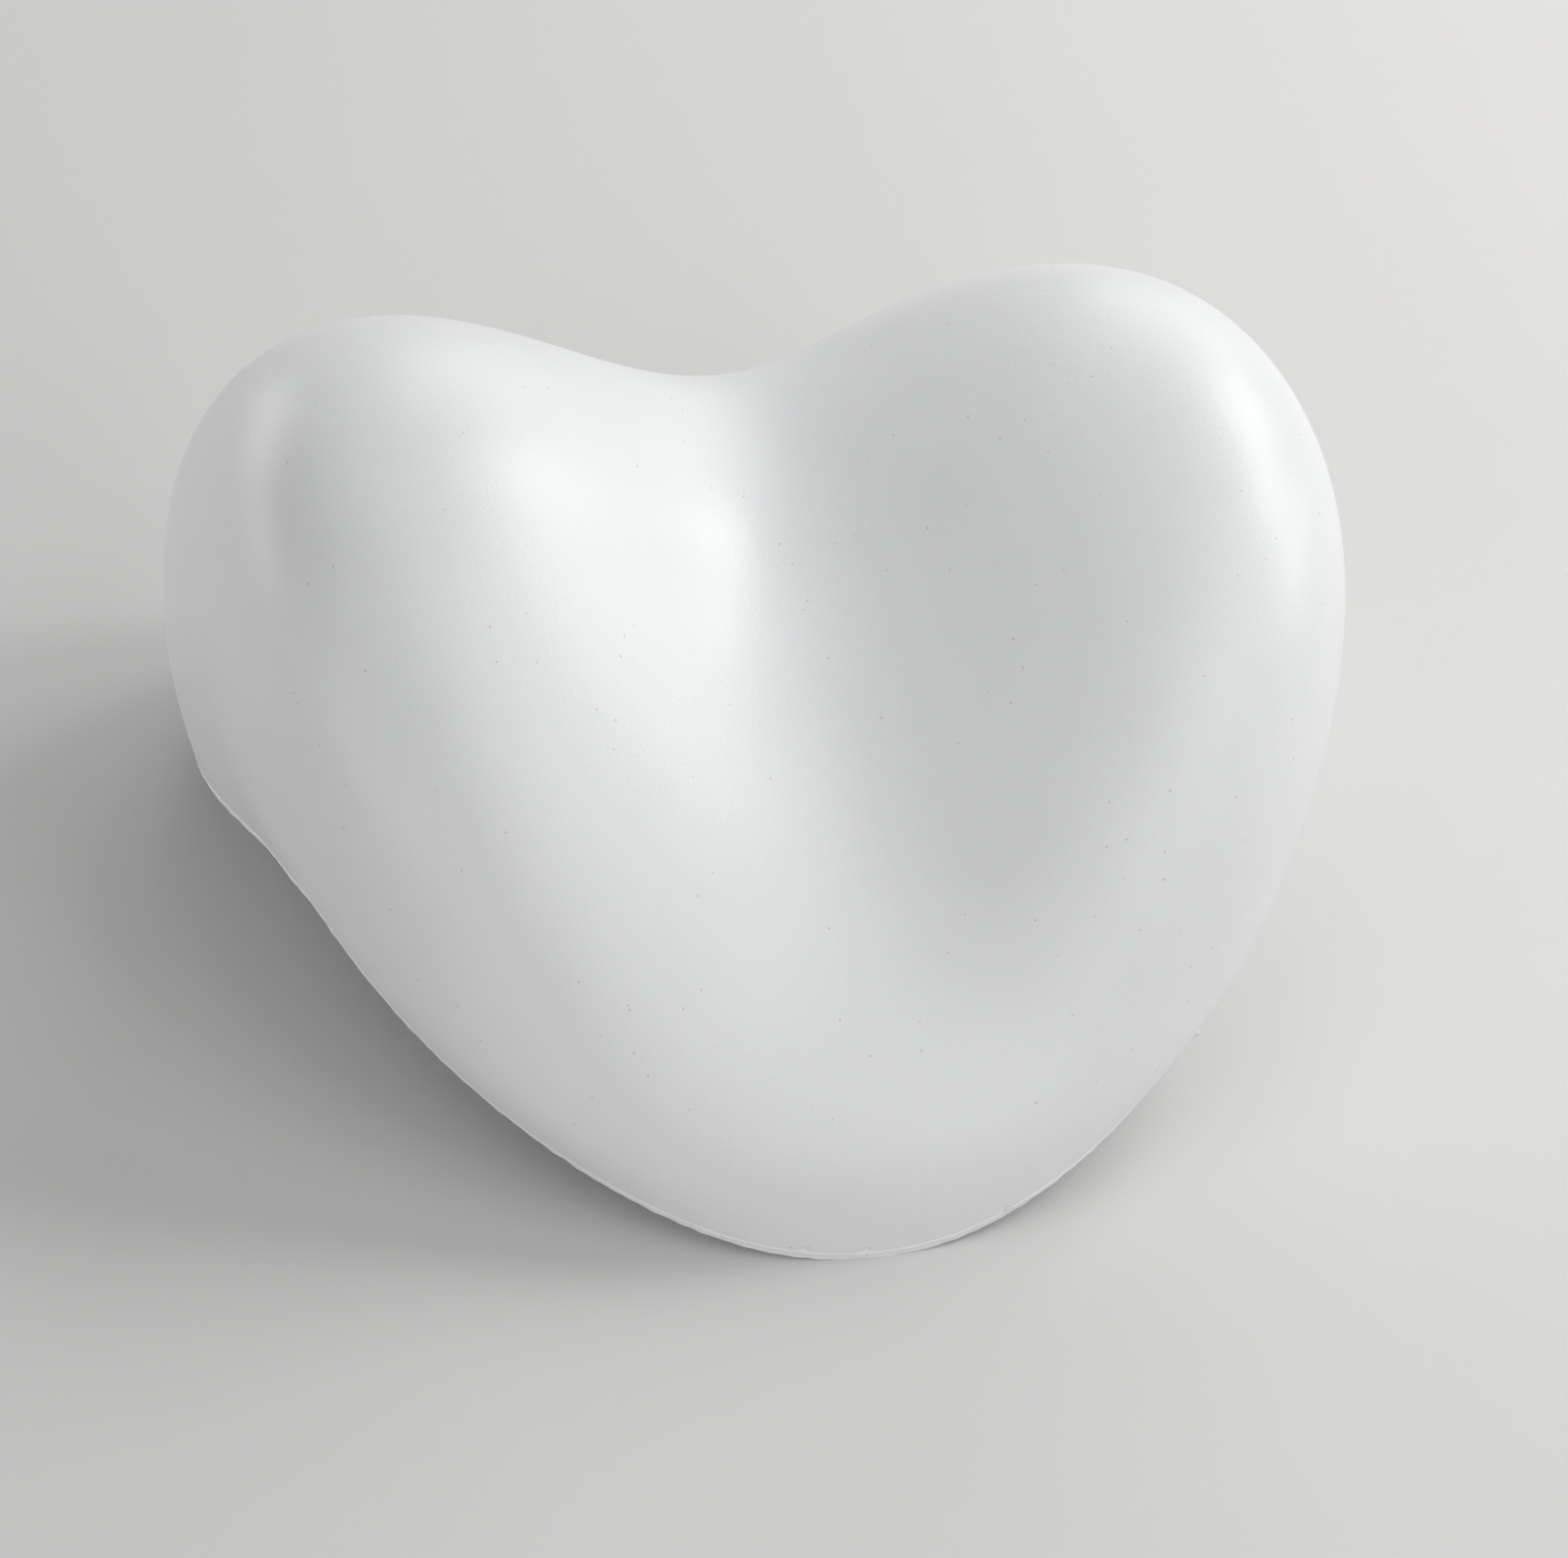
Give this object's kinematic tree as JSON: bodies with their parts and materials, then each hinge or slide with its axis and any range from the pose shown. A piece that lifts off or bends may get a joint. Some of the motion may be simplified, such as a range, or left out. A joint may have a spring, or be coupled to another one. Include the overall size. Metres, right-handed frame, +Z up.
{
  "type": "bath pillow",
  "caption": "Heart-shaped moulded foam bath pillow whose bent underside fits over a bath's rim, with suction cups that swivel in moulded-in sockets.",
  "frame": {"origin": "centre of the bounding box's base, on the floor that the pillow lies on", "axes": "+X across the pillow to its right lobe seen from the tip, +Y from the tip towards the lobes, +Z up"},
  "size_m": [0.2882, 0.249, 0.1439],
  "materials": {
    "foam_skin": "satin",
    "soft_foam": "matte",
    "socket_plastic": "satin",
    "clear_vinyl": "gloss"
  },
  "bodies": {
    "pillow": {"upper_skin": "foam_skin", "under_skin": "foam_skin", "foam_core": "soft_foam", "socket_rear_left": "socket_plastic", "socket_rear_right": "socket_plastic", "socket_front_left": "socket_plastic", "socket_front_right": "socket_plastic"},
    "cup_rear_left": {"suction_cup_rear_left": "clear_vinyl"},
    "cup_rear_right": {"suction_cup_rear_right": "clear_vinyl"},
    "cup_front_left": {"suction_cup_front_left": "clear_vinyl"},
    "cup_front_right": {"suction_cup_front_right": "clear_vinyl"}
  },
  "joints": [
    {"name": "rear_left_cup_swivel", "type": "hinge", "parent": "pillow", "child": "cup_rear_left", "pos_m": [-0.066, 0.01243, 0.03489], "axis": [0, -0.3301, -0.9439], "continuous": true},
    {"name": "rear_right_cup_swivel", "type": "hinge", "parent": "pillow", "child": "cup_rear_right", "pos_m": [0.066, 0.01243, 0.03489], "axis": [0, -0.3301, -0.9439], "continuous": true},
    {"name": "front_left_cup_swivel", "type": "hinge", "parent": "pillow", "child": "cup_front_left", "pos_m": [-0.043, -0.07257, 0.03168], "axis": [0, 0.5258, -0.8506], "continuous": true},
    {"name": "front_right_cup_swivel", "type": "hinge", "parent": "pillow", "child": "cup_front_right", "pos_m": [0.043, -0.07257, 0.03168], "axis": [0, 0.5258, -0.8506], "continuous": true}
  ]
}
